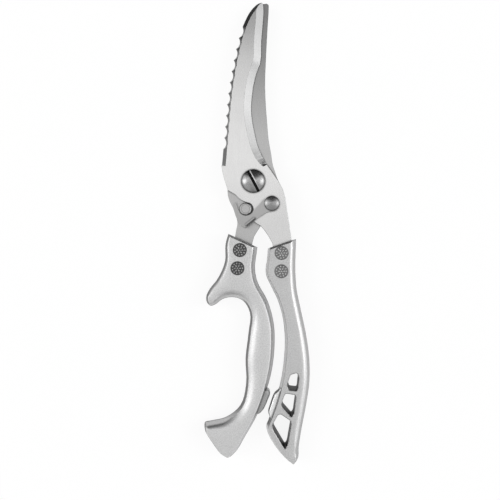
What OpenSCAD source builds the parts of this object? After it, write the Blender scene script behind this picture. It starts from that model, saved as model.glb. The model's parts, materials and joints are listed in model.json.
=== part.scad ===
// Kitchen shears with a scaler blade, cast grips and a thumb catch.
// All shapes are drawn round the pivot axis, blades towards +Y, closed and
// locked, and then placed with the middle of the shears over the origin and
// the backs of the grips on the ground.

/* [Blades] */
// Pivot axis to the tip of the front blade
blade_reach = 99; // [94:0.5:104]
// Width of the front blade at its heel, back to cutting edge
blade_w = 24.7; // [23.5:0.1:26]
// Thickness of each blade
blade_t = 3; // [2.6:0.1:3.2]
// Running gap between the two blades
blade_gap = 0.1; // [0.06:0.02:0.14]
// Width of the ground bevel behind each cutting edge
edge_bevel = 3.9; // [3.2:0.1:4.4]
// Thickness left at the cutting edge
edge_land = 0.3; // [0.2:0.05:0.5]
// Width of the bevel along the back of the front blade
back_bevel = 2.2; // [1.8:0.1:2.4]
// Thickness left at the back
back_land = 0.7; // [0.5:0.05:0.9]

/* [Scaler teeth] */
// Number of scallops in the back of the front blade
tooth_count = 11; // [8:1:11]
// Distance from one tooth to the next
tooth_pitch = 6.15; // [5.8:0.05:6.3]
// Depth of a scallop
tooth_depth = 1.3; // [1:0.05:1.5]
// Widening of a scallop from the back of the blade to its face
tooth_flare = 1.2; // [0.8:0.1:1.5]
// Pivot axis to the tooth nearest the tip
tooth_start = 85.8; // [84:0.1:87]

/* [Pivot] */
// Diameter of the domed screw head
screw_head_d = 12.9; // [12:0.1:14]
// Height of the rim under the dome
screw_rim_h = 0.6; // [0.5:0.1:0.8]
// Rise of the dome
screw_dome_h = 1.8; // [1.4:0.1:2]
// Diameter of the shoulder that both blades turn on
shoulder_d = 8; // [7:0.1:8.6]
// Running clearance round the shoulder
shoulder_clear = 0.05; // [0.03:0.01:0.08]
// Diameter of the threaded end
thread_d = 6; // [5:0.1:6.4]
// Width of the screwdriver slot
slot_w = 1.5; // [1.2:0.1:1.8]
// Depth of the screwdriver slot below the top of the dome
slot_depth = 1.5; // [1.2:0.1:1.6]
// Turn of the screwdriver slot
slot_turn = 118; // [100:1:140]
// Thickness of the washer under the head
washer_t = 0.4; // [0.3:0.05:0.5]
// Nut, width across its flats
nut_af = 11; // [10:0.1:12]
// Height of the nut
nut_h = 3.1; // [2.6:0.1:3.2]

/* [Spring] */
// Diameter of the spring wire
wire_d = 0.8; // [0.6:0.05:0.9]
// Mean diameter of the spring's turns
spring_d = 11.2; // [11:0.1:11.8]
// Number of turns
spring_turns = 1.6; // [1.3:0.1:1.7]
// Depth of the spring's pocket in each blade
pocket_h = 1.5; // [1.4:0.05:1.6]
// Length of the spring's legs
leg_len = 3.4; // [2.8:0.1:3.8]

/* [Catch] */
// Catch rivet, distance to the right of the pivot axis
catch_x = 10.3; // [10:0.1:10.6]
// Catch rivet, distance below the pivot axis
catch_y = 12.3; // [12:0.1:12.6]
// Catch rivet to the far corner of the catch
catch_reach = 20.2; // [19.8:0.1:20.6]
// Thickness of the catch plate
catch_t = 1.4; // [1.2:0.1:1.6]
// Radius of the eye round the catch rivet
catch_eye_r = 4.3; // [4:0.1:4.6]
// Height of the bent thumb tab above the catch plate
tab_h = 2.4; // [1.8:0.1:3]
// Diameter of the domed head of the catch rivet
catch_head_d = 8.2; // [7.6:0.1:8.8]
// Rise of the catch rivet's dome
catch_dome_h = 1.1; // [0.9:0.1:1.4]
// Diameter of the catch rivet's shank
catch_pin_d = 4; // [3.6:0.1:4.4]
// Thickness of the spring washer under the catch
catch_washer_t = 0.3; // [0.2:0.05:0.4]
// Locking stud, distance to the left of the pivot axis
stud_x = 4.2; // [4:0.1:4.4]
// Locking stud, distance below the pivot axis
stud_y = 15.3; // [15:0.1:15.6]
// Diameter of the locking stud
stud_d = 6.8; // [6.4:0.1:7]
// Diameter of the stud's riveted shank
stud_pin_d = 4.4; // [4:0.1:4.6]
// Clearance round the stud
stud_clear = 0.3; // [0.25:0.05:0.35]
// Extra room behind the locked stud in the front blade's notch
stud_play = 0.6; // [0.3:0.05:0.8]
// Extra room at the mouth of the catch's notch
mouth_gap = 0.9; // [0.6:0.1:1.1]
// Angle between the blades where the stud meets its stop
open_angle = 36; // [32:0.5:37]
// Turn of the catch for each degree that the blades open
catch_ratio = 2.5; // [2.4:0.1:2.6]

/* [Tangs] */
// Pivot axis to the outer side of the right tang
tang_reach = 21; // [20.4:0.1:21.6]
// Pivot axis to the end of the tangs
tang_len = 57; // [55:0.5:58]
// Clearance round a tang in its grip
tang_clear = 0.1; // [0.06:0.02:0.2]

/* [Grips] */
// Thickness of both grips
grip_t = 13; // [12.6:0.1:14]
// Pivot axis to the outermost point of the left grip
hook_reach = 27.4; // [26.6:0.1:28.2]
// Length of the left grip
hook_len = 123.1; // [119:0.5:127]
// Pivot axis to the top of the left grip
hook_top = 29.5; // [29:0.1:30]
// Widest rounding, where the fingers lie in the left grip
hook_round = 7.2; // [6:0.1:7.6]
// Pivot axis to the outermost point of the right grip
window_reach = 31; // [30.2:0.1:31.8]
// Length of the right grip
window_len = 124; // [120:0.5:128]
// Pivot axis to the top of the right grip
window_top = 32; // [31.5:0.1:32.5]
// Widest rounding along the palm side of the right grip
window_round = 4; // [3.6:0.1:4.2]
// Height of the rounding at the faces of the grips
round_h = 3.2; // [2.6:0.1:3.6]
// Lean of the grip walls from the faces out to the parting line
draft = 0.8; // [0.5:0.05:0.9]
// Chamfer along the top edges of the grips, over the tangs
top_chamfer = 1.1; // [0.8:0.1:1.4]
// Thickness of the stop bosses between the grips
boss_t = 8; // [7:0.1:9]
// Rounding of the stop bosses
boss_round = 0.8; // [0.5:0.1:0.9]
// Softened edge of the window openings
window_edge = 0.4; // [0.3:0.05:0.6]
// Narrowing of the window openings from the front to the back
opening_draft = 0.6; // [0.3:0.05:0.8]

/* [Grip rivets] */
// Diameter of the patterned rivet heads
rivet_head_d = 7.6; // [7:0.1:7.8]
// Thickness of the rivet heads
rivet_head_t = 1; // [0.8:0.1:1.2]
// Rise of the front heads above the grips
rivet_rise = 0.35; // [0.2:0.05:0.5]
// Depth of the back heads below the backs of the grips
rivet_sink = 0.1; // [0.05:0.05:0.3]
// Diameter of the rivet tubes
tube_d = 5; // [4.6:0.1:5.2]
// Diameter of the rivet pins
pin_d = 3; // [2.6:0.1:3.4]
// Clearance between rivets, tangs and grips
rivet_clear = 0.05; // [0.03:0.01:0.1]

/* [Hidden] */
$fn = 64;

// One overrun serves every cut
over = blade_t / 3;

// Heights, from the plane where the blades meet
face_z = blade_gap / 2 + blade_t;
washer_z = face_z + washer_t;
catch_z = face_z + catch_washer_t + blade_gap / 2;
catch_top_z = catch_z + catch_t;
stud_top_z = catch_top_z + catch_t / 2;
dome_z = washer_z + screw_rim_h + screw_dome_h;

// Places of the catch rivet, the stud, and the grip rivets
catch_place = [catch_x, -catch_y];
stud_place = [-stud_x, -stud_y];
stud_r = stud_d / 2;
stud_orbit = norm(stud_place);
notch_r = stud_orbit - stud_r - stud_clear;
hook_rivet_shares = [[-0.343, 0.665], [-0.405, 0.839]];
window_rivet_shares = [[0.743, 0.693], [0.738, 0.868]];
hook_rivets = [for (s = hook_rivet_shares) tang_point(s)];
window_rivets = [for (s = window_rivet_shares) tang_point(s)];

// Front blade: the back runs from the tip down to the heel
front_back_shares = [
    [0.194, 1], [0.138, 0.997], [-0.032, 0.962], [-0.19, 0.894], [-0.32, 0.807],
    [-0.437, 0.685], [-0.563, 0.497], [-0.636, 0.308], [-0.684, 0.141], [-0.704, 0.088]
];
// Front blade: the rounded lobe left of the pivot, in tang sizes
front_lobe_shares = [[-0.814, -0.095], [-0.776, -0.037]];
// Front blade: the tang inside the right grip, then up its right side
front_neck_shares = [[0.2, 0.433], [0.3, 0.477], [0.405, 0.533]];
front_tang_shares = [
    [0.505, 0.602], [0.533, 0.702], [0.538, 0.912], [0.619, 0.989],
    [0.881, 0.989], [0.976, 0.912], [1, 0.702], [1, 0.558]
];
front_side_shares = [
    [0.986, 0.509], [0.943, 0.409], [0.89, 0.284], [0.843, 0.161], [0.781, 0.081], [0.681, 0.009]
];
// Front blade: the cutting edge runs from the heel up to the tip
front_edge_shares = [
    [0.296, 0.096], [0.211, 0.136], [0.105, 0.192], [0.036, 0.257], [-0.04, 0.358],
    [-0.053, 0.418], [-0.032, 0.482], [0.004, 0.545], [0.073, 0.61], [0.15, 0.662],
    [0.174, 0.782], [0.211, 0.889], [0.221, 0.983], [0.214, 0.994]
];
// Rear blade: the cutting edge runs from the tip down to the heel
rear_edge_shares = [
    [0.162, 0.994], [0.126, 0.97], [0.121, 0.889], [0.085, 0.782], [0.061, 0.662],
    [-0.016, 0.61], [-0.085, 0.545], [-0.121, 0.482], [-0.142, 0.418], [-0.13, 0.358],
    [-0.053, 0.257], [0.016, 0.192], [0.097, 0.141]
];
// Rear blade: the lobe and the left side down to the grip, in tang sizes
rear_lobe_shares = [
    [-0.09, -0.21], [-0.36, -0.19], [-0.58, -0.1], [-0.67, 0.02], [-0.671, 0.139],
    [-0.619, 0.198], [-0.538, 0.256], [-0.486, 0.314], [-0.433, 0.372], [-0.424, 0.409],
    [-0.457, 0.472]
];
rear_tang_shares = [
    [-0.486, 0.544], [-0.548, 0.667], [-0.59, 0.912], [-0.514, 0.982],
    [-0.248, 0.982], [-0.162, 0.895], [-0.09, 0.737], [-0.029, 0.589]
];
rear_side_shares = [
    [0.014, 0.533], [0.086, 0.489], [0.186, 0.433], [0.333, 0.333], [0.524, 0.202], [0.648, 0.088]
];
rear_spine_shares = [
    [0.579, -0.005], [0.53, 0.021], [0.486, 0.055], [0.441, 0.088], [0.397, 0.156],
    [0.348, 0.222], [0.304, 0.339], [0.259, 0.541], [0.283, 0.709], [0.322, 0.894],
    [0.341, 0.976], [0.339, 0.99], [0.306, 0.997]
];

// Left grip: across, down and edge rounding, anticlockwise from its top corner
hook_shares = [
    [-0.37, -0.08, 0.2], [-0.44, -0.04, 0.16], [-0.558, 0.04, 0.16], [-0.571, 0.12, 0.25],
    [-0.736, 0.203, 0.27], [-0.88, 0.244, 0.22], [-0.948, 0.276, 0.14], [-0.935, 0.303, 0.11],
    [-0.862, 0.318, 0.13], [-0.775, 0.312, 0.2], [-0.635, 0.289, 0.42],
    [-0.433, 0.279, 0.56], [-0.21, 0.295, 0.64],
    [-0.069, 0.347, 0.72], [-0.093, 0.437, 0.89], [-0.154, 0.554, 1], [-0.144, 0.671, 0.97],
    [-0.261, 0.767, 0.9], [-0.554, 0.82, 0.72], [-0.878, 0.837, 0.45], [-0.973, 0.842, 0.1],
    [-0.984, 0.866, 0.06], [-0.827, 0.935, 0.12], [-0.605, 0.991, 0.1], [-0.494, 1, 0.08],
    [-0.409, 0.986, 0.1], [-0.16, 0.901, 0.14], [0.107, 0.793, 0.15], [0.235, 0.716, 0.15],
    [0.356, 0.622, 0.22], [0.421, 0.509, 0.24], [0.409, 0.401, 0.24], [0.285, 0.298, 0.24],
    [0.069, 0.205, 0.24], [0.032, 0.167, 0.24], [0.078, 0.05, 0.24], [0.1, -0.03, 0.24],
    [0.06, -0.08, 0.2]
];
hook_cut_shares = [[-0.482, -0.002], [0.084, 0.056]];
hook_boss_shares = [
    [0.12, 0.7, 1], [-0.02, 0.79, 1], [0.097, 0.804, 1], [0.19, 0.787, 1],
    [0.241, 0.766, 1], [0.293, 0.738, 1], [0.334, 0.711, 1], [0.308, 0.691, 1]
];
// Right grip: across, down and edge rounding, anticlockwise from its top corner
window_shares = [
    [0.34, -0.03, 0.14], [0.29, 0, 0.14], [0.252, 0.08, 0.14], [0.229, 0.157, 0.14],
    [0.315, 0.206, 0.14], [0.431, 0.266, 0.14], [0.526, 0.347, 0.14], [0.565, 0.441, 0.14],
    [0.547, 0.539, 0.14], [0.494, 0.628, 0.14], [0.418, 0.704, 0.14], [0.327, 0.771, 0.14],
    [0.265, 0.809, 0.14], [0.236, 0.83, 0.12], [0.247, 0.852, 0.12], [0.35, 0.906, 0.14],
    [0.502, 0.957, 0.14], [0.646, 0.991, 0.1], [0.722, 1, 0.04], [0.776, 0.986, 0.08],
    [0.806, 0.923, 0.55], [0.865, 0.834, 0.9], [0.941, 0.736, 1], [0.998, 0.633, 1],
    [0.994, 0.526, 0.95], [0.933, 0.418, 0.84], [0.842, 0.311, 0.74], [0.772, 0.226, 0.66],
    [0.747, 0.146, 0.6], [0.758, 0, 0.58], [0.755, -0.045, 0.4],
    [0.69, -0.06, 0.2]
];
window_cut_shares = [[0.285, 0.038], [0.757, -0.002]];
window_boss_shares = [
    [0.442, 0.67, 1], [0.386, 0.682, 1], [0.35, 0.699, 1], [0.318, 0.722, 1], [0.286, 0.747, 1],
    [0.268, 0.763, 1], [0.277, 0.78, 1], [0.32, 0.8, 1], [0.5, 0.76, 1], [0.61, 0.71, 1],
    [0.6, 0.66, 1], [0.51, 0.65, 1]
];
// The three openings through the right grip
opening_shares = [
    [[0.77, 0.592], [0.667, 0.6], [0.611, 0.644], [0.636, 0.662], [0.779, 0.666], [0.806, 0.612]],
    [[0.575, 0.682], [0.5, 0.734], [0.676, 0.782], [0.715, 0.768], [0.756, 0.69]],
    [[0.462, 0.77], [0.332, 0.828], [0.563, 0.924], [0.604, 0.906], [0.676, 0.806]]
];

// Catch plate, seen from its rivet: the lip, the bottom corner, the arm
catch_shares = [
    [-0.881, 0.05], [-1.03, 0.035], [-1.03, -0.158], [-0.985, -0.347], [-0.896, -0.495],
    [-0.827, -0.594], [-0.743, -0.653], [-0.678, -0.629], [-0.436, -0.431], [-0.302, -0.342],
    [-0.144, -0.24], [0.02, -0.205], [0, 0], [-0.198, 0.134], [-0.356, -0.05], [-0.54, -0.233]
];
tab_shares = [[-0.678, -0.629], [-0.436, -0.431]];

// Points per span of a drawn curve
grip_steps = 4;
blade_steps = 3;
round_steps = 4;

function flat(p) = [p.x, p.y];
function gap(a, b) = norm(flat(b) - flat(a));
function turned(p, a) = [p.x * cos(a) - p.y * sin(a), p.x * sin(a) + p.y * cos(a)];
function heading(a, b, c) =
    let(u = gap(a, b), v = gap(b, c))
    ((flat(b) - flat(a)) * v / u + (flat(c) - flat(b)) * u / v) / (u + v);
function span(a, b, c, d, t) =
    let(g = gap(b, c))
    let(p = heading(a, b, c) * g, q = heading(b, c, d) * g)
    flat(b) * (2 * t ^ 3 - 3 * t ^ 2 + 1) + p * (t ^ 3 - 2 * t ^ 2 + t)
    + flat(c) * (3 * t ^ 2 - 2 * t ^ 3) + q * (t ^ 3 - t ^ 2);
// A smooth closed outline through its points, with the edge rounding carried along
function loop(c, n) =
    let(m = len(c))
    [for (i = [0 : m - 1], k = [0 : n - 1])
        let(b = c[i], d = c[(i + 1) % m], t = k / n)
        let(p = span(c[(i + m - 1) % m], b, d, c[(i + 2) % m], t))
        [p.x, p.y, b.z + (d.z - b.z) * t]];
// A smooth open curve through its points
function run(c, n) =
    let(m = len(c))
    concat(
        [for (i = [0 : m - 2], k = [0 : n - 1])
            let(b = c[i], d = c[i + 1])
            let(a = i > 0 ? c[i - 1] : 2 * b - d, e = i < m - 2 ? c[i + 2] : 2 * d - b)
            span(a, b, d, e, k / n)],
        [c[m - 1]]);
// Every corner cut off at a share of its sides, once or more often, for the rounded openings
cut_share = 0.11;
function softened(p, times) =
    let(m = len(p))
    times == 0 ? p : softened([for (i = [0 : m - 1], s = [cut_share, 1 - cut_share])
        p[i] + (p[(i + 1) % m] - p[i]) * s], times - 1);

function blade_point(s) = [blade_w * s.x, blade_reach * s.y];
function tang_point(s) = [tang_reach * s.x, -tang_len * s.y];
function blade_points(shares) = [for (s = shares) blade_point(s)];
function tang_points(shares) = [for (s = shares) tang_point(s)];
function hook_points(shares) =
    [for (s = shares) [hook_reach * s.x, -hook_top - hook_len * s.y, hook_round * s.z]];
function window_points(shares) =
    [for (s = shares) [window_reach * s.x, -window_top - window_len * s.y, window_round * s.z]];

// Where the stud's stop lies: square to the stud's way at its last place
stop_turn = -31;
stud_limit = turned(stud_place, -open_angle);
stop_point = stud_limit + turned([0, stud_r + stud_clear / 3], stop_turn);
stop_shares = [-0.26, 0.07];
function stop_edge(s) = stop_point + turned([stud_orbit * s, 0], stop_turn);
stop_inner = stop_edge(stop_shares[1]);
stop_start = atan2(stop_inner.y, stop_inner.x) + 360;
stop_end = atan2(-stud_y, -stud_x) + 360 + 6;

// The notch that the stud sweeps, as an arc round the pivot, then round the stud
notch_arc = [for (k = [0 : 12]) let(a = stop_start + (stop_end - stop_start) * k / 12)
    notch_r * [cos(a), sin(a)]];
stud_seat = stud_place + [stud_play, 0];
stud_room = [for (a = [60 : -20 : -40]) stud_seat + (stud_r + stud_clear) * [cos(a), sin(a)]];

front_back = run(blade_points(front_back_shares), blade_steps);
front_edge = run(blade_points(front_edge_shares), blade_steps);
// The bevels run on past the heel and the tips
heel_share = 0.2;
front_edge_start = front_edge[0] + heel_share * (front_edge[0] - front_edge[1]);
front_edge_end = blade_point([0.225, 1.03]);
front_back_end = blade_point([0.3, 0.995]);
rear_edge_end = blade_point([0.165, 1.03]);
front_outline = concat(
    front_back,
    tang_points(front_lobe_shares),
    [stop_edge(stop_shares[0])],
    notch_arc,
    stud_room,
    [stud_seat + [stud_r + stud_clear, -stud_d]],
    tang_points(front_neck_shares),
    tang_points(front_tang_shares),
    tang_points(front_side_shares),
    front_edge);

rear_edge = run(blade_points(rear_edge_shares), blade_steps);
rear_outline = concat(
    rear_edge,
    run(tang_points(rear_lobe_shares), blade_steps),
    tang_points(rear_tang_shares),
    run(tang_points(rear_side_shares), blade_steps),
    run(blade_points(rear_spine_shares), blade_steps));

hook_outline = loop(hook_points(hook_shares), grip_steps);
window_outline = loop(window_points(window_shares), grip_steps);

// The middle of the closed shears
middle_x = (min([for (p = hook_outline) p.x]) + max([for (p = window_outline) p.x])) / 2;
middle_y = (min([for (p = window_outline) p.y]) + max([for (p = front_outline) p.y])) / 2;

module placed() {
    translate([-middle_x, -middle_y, grip_t / 2]) children();
}

// Twice the area of a corner, positive where it turns to the left
function corner(a, b, c) = (b.x - a.x) * (c.y - a.y) - (b.y - a.y) * (c.x - a.x);
function covers(a, b, c, q) = corner(a, b, q) >= 0 && corner(b, c, q) >= 0 && corner(c, a, q) >= 0;
// The first corner from i on whose triangle holds none of the outline's other points
function free_corner(p, left, i) =
    let(m = len(left), u = left[(i + m - 1) % m], v = left[i], w = left[(i + 1) % m])
    let(held = [for (k = left) if (k != u && k != v && k != w && covers(p[u], p[v], p[w], p[k])) k])
    i > m - 2 || (corner(p[u], p[v], p[w]) > 0 && len(held) == 0) ? i : free_corner(p, left, i + 1);
// Triangles that fill an outline, taken off one corner at a time
function clipped(p, left, done) =
    len(left) < 3 ? done :
    let(m = len(left), i = free_corner(p, left, 0))
    let(tri = [left[(i + m - 1) % m], left[i], left[(i + 1) % m]])
    clipped(p, [for (k = [0 : m - 1]) if (k != i) left[k]], concat(done, [tri]));
function filled(p) = clipped(p, [for (k = [0 : len(p) - 1]) k], []);

// A solid through equal rings of points, each ring anticlockwise seen from the last
module skin(rings, fill) {
    m = len(rings[0]);
    n = len(rings);
    sides = [for (i = [0 : n - 2], j = [0 : m - 1]) let(k = (j + 1) % m, a = i * m, b = a + m)
        each [[a + j, b + j, b + k], [a + j, b + k, a + k]]];
    first = is_undef(fill) ? [[for (j = [0 : m - 1]) j]] : fill;
    last = [for (f = first) [for (k = [len(f) - 1 : -1 : 0]) (n - 1) * m + f[k]]];
    polyhedron(points = [for (r = rings) each r], faces = concat(first, sides, last));
}

// The unit vector square to an outline at one point, towards its left
function inward(p, i) =
    let(m = len(p))
    let(d = flat(p[(i + 1) % m]) - flat(p[(i + m - 1) % m]))
    turned(d, 90) / norm(d);
function ring(p, share, lean, z) =
    [for (i = [0 : len(p) - 1]) let(q = flat(p[i]) + inward(p, i) * (p[i].z * share + lean)) [q.x, q.y, z]];

// A cast piece: rounded at both faces, leaning out to the parting line halfway
module casting(p, t, drop, lean) {
    turns = [for (k = [0 : round_steps]) 90 * k / round_steps];
    lower = [for (a = turns) ring(p, 1 - sin(a), lean, -t / 2 + drop * (1 - cos(a)))];
    upper = [for (k = [round_steps : -1 : 0]) let(a = turns[k])
        ring(p, 1 - sin(a), lean, t / 2 - drop * (1 - cos(a)))];
    skin(concat(lower, [ring(p, 0, 0, 0)], upper), filled(lower[0]));
}

// An outline with each point moved towards the middle of them all
function shrunk(p, by, z) =
    let(m = [for (q = p) 1] * [for (q = p) flat(q)] / len(p))
    [for (q = p) let(away = flat(q) - m, r = m + away * (1 - by / norm(away))) [r.x, r.y, z]];

// An opening through a grip, narrowest at the back
module opening(shares) {
    corners = softened([for (s = shares) [window_reach * s.x, -window_top - window_len * s.y]], 2);
    p = [for (c = corners) [c.x, c.y, 1]];
    wall = grip_t / 2 - window_edge;
    out = grip_t / 2 + over;
    side = opening_draft / 2;
    rings = [
        shrunk(p, side - window_edge - over, -out),
        shrunk(p, side, -wall),
        ring(p, 0, -side, wall),
        ring(p, 0, -side - window_edge - over, out)];
    skin(rings, filled(rings[0]));
}

// The wedge that a bevel takes off the upper face, along a curve with the blade on its left;
// it gets narrower and steeper over the first few points, where the wheel runs out
module bevel(p, width, land, runout) {
    low = blade_gap / 2 + land;
    skin([for (i = [0 : len(p) - 1])
        let(a = p[max(i - 1, 0)], b = p[min(i + 1, len(p) - 1)])
        let(n = turned(b - a, 90) / norm(b - a))
        let(w = width * (i < runout ? 0.5 + 0.5 * sin(90 * i / runout) : 1))
        let(slope = (blade_t - land) / w)
        let(inner = p[i] + n * (w + over), outer = p[i] - n * over)
        [[inner.x, inner.y, face_z + slope * over],
            [outer.x, outer.y, face_z + slope * over],
            [outer.x, outer.y, low - slope * over]]]);
}

module plate(outline) {
    translate([0, 0, blade_gap / 2]) linear_extrude(height = blade_t) polygon(outline);
}

module hole(place, d, from_z, to_z) {
    translate([place.x, place.y, from_z]) cylinder(d = d, h = to_z - from_z);
}

// The bore for the shoulder, the spring's pocket round it and the groove for one leg
module pivot_cut(leg_turn) {
    hole([0, 0], shoulder_d + 2 * shoulder_clear, -over, face_z + over);
    hole([0, 0], spring_d + 2 * wire_d, -over, blade_gap / 2 + pocket_h);
    groove = wire_d + 4 * blade_gap;
    rotate(leg_turn)
        translate([0, -groove / 2, -over])
            cube([spring_d / 2 + leg_len + blade_gap, groove, blade_gap / 2 + pocket_h + over]);
}

// A rivet's seat in the face of the front blade's plate, sunk below the meeting plane
module sunk_tail(place, d) {
    translate([place.x, place.y, blade_gap / 2])
        cylinder(d1 = d + blade_t * 2 / 3, d2 = d, h = blade_t / 3);
}

module tang_slot(shares, lift) {
    middle = (min([for (s = shares) s.x]) + max([for (s = shares) s.x])) / 2;
    base = [for (s = shares) tang_point(s) + [s.x < middle ? -tang_clear : tang_clear, -tang_clear]];
    up = [for (p = [base[0], base[len(base) - 1]]) p + [0, tang_len / 3]];
    translate([0, 0, lift - tang_clear])
        linear_extrude(height = blade_t + 2 * tang_clear)
            polygon(concat([up[0]], base, [up[1]]));
}

// Everything above a grip's sloping top edge, and a chamfer on each of its faces
module top_cut(corners) {
    a = corners[0];
    b = corners[1];
    face = grip_t / 2;
    edge = face - top_chamfer;
    away = top_chamfer + over;
    far = tang_len / 2;
    translate([a.x, a.y, 0])
        rotate([0, 0, atan2(b.y - a.y, b.x - a.x)])
            translate([-far, 0, 0])
                rotate([90, 0, 90])
                    linear_extrude(height = gap(a, b) + 2 * far)
                        polygon([
                            [0, -edge], [-away, -face - over], [far, -face - over],
                            [far, face + over], [-away, face + over], [0, edge]]);
}

module rivet_bores(places) {
    for (p = places) {
        hole(p, tube_d + 2 * rivet_clear, -grip_t, grip_t);
        hole(p, rivet_head_d + 2 * rivet_clear, grip_t / 2 - rivet_head_t, grip_t);
        hole(p, rivet_head_d + 2 * rivet_clear, -grip_t, -grip_t / 2 + rivet_sink + rivet_head_t);
    }
}

spring_start = 100;
spring_end = spring_start + 360 * spring_turns;

module front_blade() {
    teeth = run(blade_points(front_back_shares), blade_steps);
    back_x = [for (p = teeth) [p.y, p.x]];
    reach = ((tooth_pitch / 2) ^ 2 + tooth_depth ^ 2) / (2 * tooth_depth);
    color("gainsboro") placed() difference() {
        plate(front_outline);
        bevel(concat([front_edge_start], front_edge, [front_edge_end]),
            edge_bevel, edge_land, 2 * blade_steps);
        bevel(concat([front_back_end], front_back), back_bevel, back_land, 0);
        for (k = [0 : tooth_count - 1]) {
            y = tooth_start - tooth_pitch * (k + 0.5);
            x = lookup(y, back_x);
            slope = lookup(y - tooth_pitch / 2, back_x) - lookup(y + tooth_pitch / 2, back_x);
            away = turned([-(reach - tooth_depth), 0], atan2(slope, tooth_pitch));
            translate([x + away.x, y + away.y, blade_gap / 2 - over])
                cylinder(r1 = reach - tooth_flare * over / blade_t,
                    r2 = reach + tooth_flare * (1 + over / blade_t), h = blade_t + 2 * over);
        }
        pivot_cut(spring_start);
        hole(catch_place, catch_pin_d, -over, face_z + over);
        sunk_tail(catch_place, catch_pin_d);
        for (p = window_rivets) hole(p, tube_d + 2 * rivet_clear, -over, face_z + over);
    }
}

module rear_blade() {
    color("silver") placed() mirror([0, 0, 1]) difference() {
        plate(rear_outline);
        bevel(concat([rear_edge_end], rear_edge), edge_bevel, edge_land, 0);
        pivot_cut(spring_end);
        hole(stud_place, stud_pin_d, -over, face_z + over);
        translate([stud_place.x, stud_place.y, face_z - blade_t / 3])
            cylinder(d1 = stud_pin_d, d2 = stud_pin_d + blade_t * 2 / 3, h = blade_t / 3);
        for (p = hook_rivets) hole(p, tube_d + 2 * rivet_clear, -over, face_z + over);
    }
}

// A domed head: a flat rim with part of a ball on it
module dome(d, rim, rise, base) {
    ball = ((d / 2) ^ 2 + rise ^ 2) / (2 * rise);
    translate([0, 0, base]) {
        cylinder(d = d, h = rim);
        intersection() {
            translate([0, 0, rim + rise - ball]) sphere(r = ball, $fn = 96);
            cylinder(d = d, h = rim + rise);
        }
    }
}

module pivot_screw() {
    end_z = -face_z - blade_gap;
    color("lightgrey") placed() difference() {
        union() {
            dome(screw_head_d, screw_rim_h, screw_dome_h, washer_z);
            translate([0, 0, end_z]) cylinder(d = shoulder_d, h = washer_z - end_z);
            translate([0, 0, end_z - nut_h]) cylinder(d = thread_d, h = nut_h);
        }
        rotate(slot_turn)
            translate([-screw_head_d, -slot_w / 2, dome_z - slot_depth])
                cube([2 * screw_head_d, slot_w, slot_depth + over]);
    }
}

module pivot_washer() {
    color("dimgray") placed() difference() {
        hole([0, 0], screw_head_d - washer_t, face_z, washer_z);
        hole([0, 0], shoulder_d + 2 * shoulder_clear, 0, washer_z + over);
    }
}

module pivot_nut() {
    top_z = -face_z - blade_gap;
    corner_d = nut_af / cos(30);
    color("silver") placed() difference() {
        intersection() {
            translate([0, 0, top_z - nut_h]) cylinder(d = corner_d, h = nut_h, $fn = 6);
            translate([0, 0, top_z - nut_h])
                cylinder(d1 = nut_af, d2 = nut_af + 4 * nut_h, h = nut_h);
        }
        hole([0, 0], thread_d + 2 * shoulder_clear, top_z - nut_h - over, top_z + over);
    }
}

module return_spring() {
    r = spring_d / 2;
    rise = blade_gap / 2 + pocket_h - wire_d / 2 - blade_gap;
    per_turn = 20;
    rings = round(per_turn * spring_turns);
    turns = [for (k = [0 : rings]) [spring_start + 360 * k / per_turn, rise - 2 * rise * k / rings]];
    middles = [for (t = turns) [r * cos(t[0]), r * sin(t[0]), t[1]]];
    coil = [for (t = turns) let(a = t[0], z = t[1])
        [for (s = [0 : 45 : 315]) let(q = r - wire_d / 2 * cos(s))
            [q * cos(a), q * sin(a), z + wire_d / 2 * sin(s)]]];
    echo(least_gap_between_turns = min([for (i = [0 : rings - 10], j = [i + 10 : rings])
        norm(middles[j] - middles[i])]) - wire_d);
    color("dimgray") placed() {
        skin(coil);
        for (leg = [[spring_start, rise], [spring_end, -rise]])
            rotate(leg[0])
                translate([r - wire_d / 4, 0, leg[1]])
                    rotate([0, 90, 0])
                        cylinder(d = wire_d * 0.98, h = leg_len, $fn = 24);
    }
}

// The stud's way as the catch sees it, while the catch swings clear
function stud_track(a) =
    catch_place + turned(turned(stud_place, -a) - catch_place, -catch_ratio * a);

module catch_plate() {
    r = stud_r + stud_clear;
    outline = [for (s = catch_shares) catch_place + catch_reach * s];
    tab = [for (s = tab_shares) catch_place + catch_reach * s];
    inside = turned(tab[1] - tab[0], 90) / norm(tab[1] - tab[0]) * catch_t;
    way = [for (a = [0 : 1 : 9]) let(p = stud_track(a), q = stud_track(a + 1))
        p + turned(q - p, 90) / norm(q - p) * r];
    mouth = stud_place + [mouth_gap, mouth_gap / 2];
    color("darkgray") placed() difference() {
        union() {
            translate([0, 0, catch_z]) linear_extrude(height = catch_t) polygon(outline);
            hole(catch_place, 2 * catch_eye_r, catch_z, catch_top_z);
            translate([0, 0, catch_z]) linear_extrude(height = catch_t + tab_h)
                polygon([tab[0], tab[1], tab[1] + inside, tab[0] + inside]);
        }
        hole(catch_place, catch_pin_d + 2 * shoulder_clear, catch_z - over, catch_top_z + over);
        hole(stud_place, 2 * r, catch_z - over, catch_top_z + over);
        hole(mouth, 2 * r, catch_z - over, catch_top_z + over);
        translate([0, 0, catch_z - over]) linear_extrude(height = catch_t + 2 * over)
            polygon(concat(way, [mouth + [r, catch_y], mouth + [r, 0], stud_place]));
    }
}

module catch_rivet() {
    head_z = catch_top_z + blade_gap / 2;
    color("lightgrey") placed() {
        translate([catch_place.x, catch_place.y, 0]) {
            dome(catch_head_d, catch_t / 4, catch_dome_h, head_z);
            translate([0, 0, blade_gap / 2]) cylinder(d = catch_pin_d, h = head_z - blade_gap / 2);
        }
        sunk_tail(catch_place, catch_pin_d);
    }
}

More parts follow.
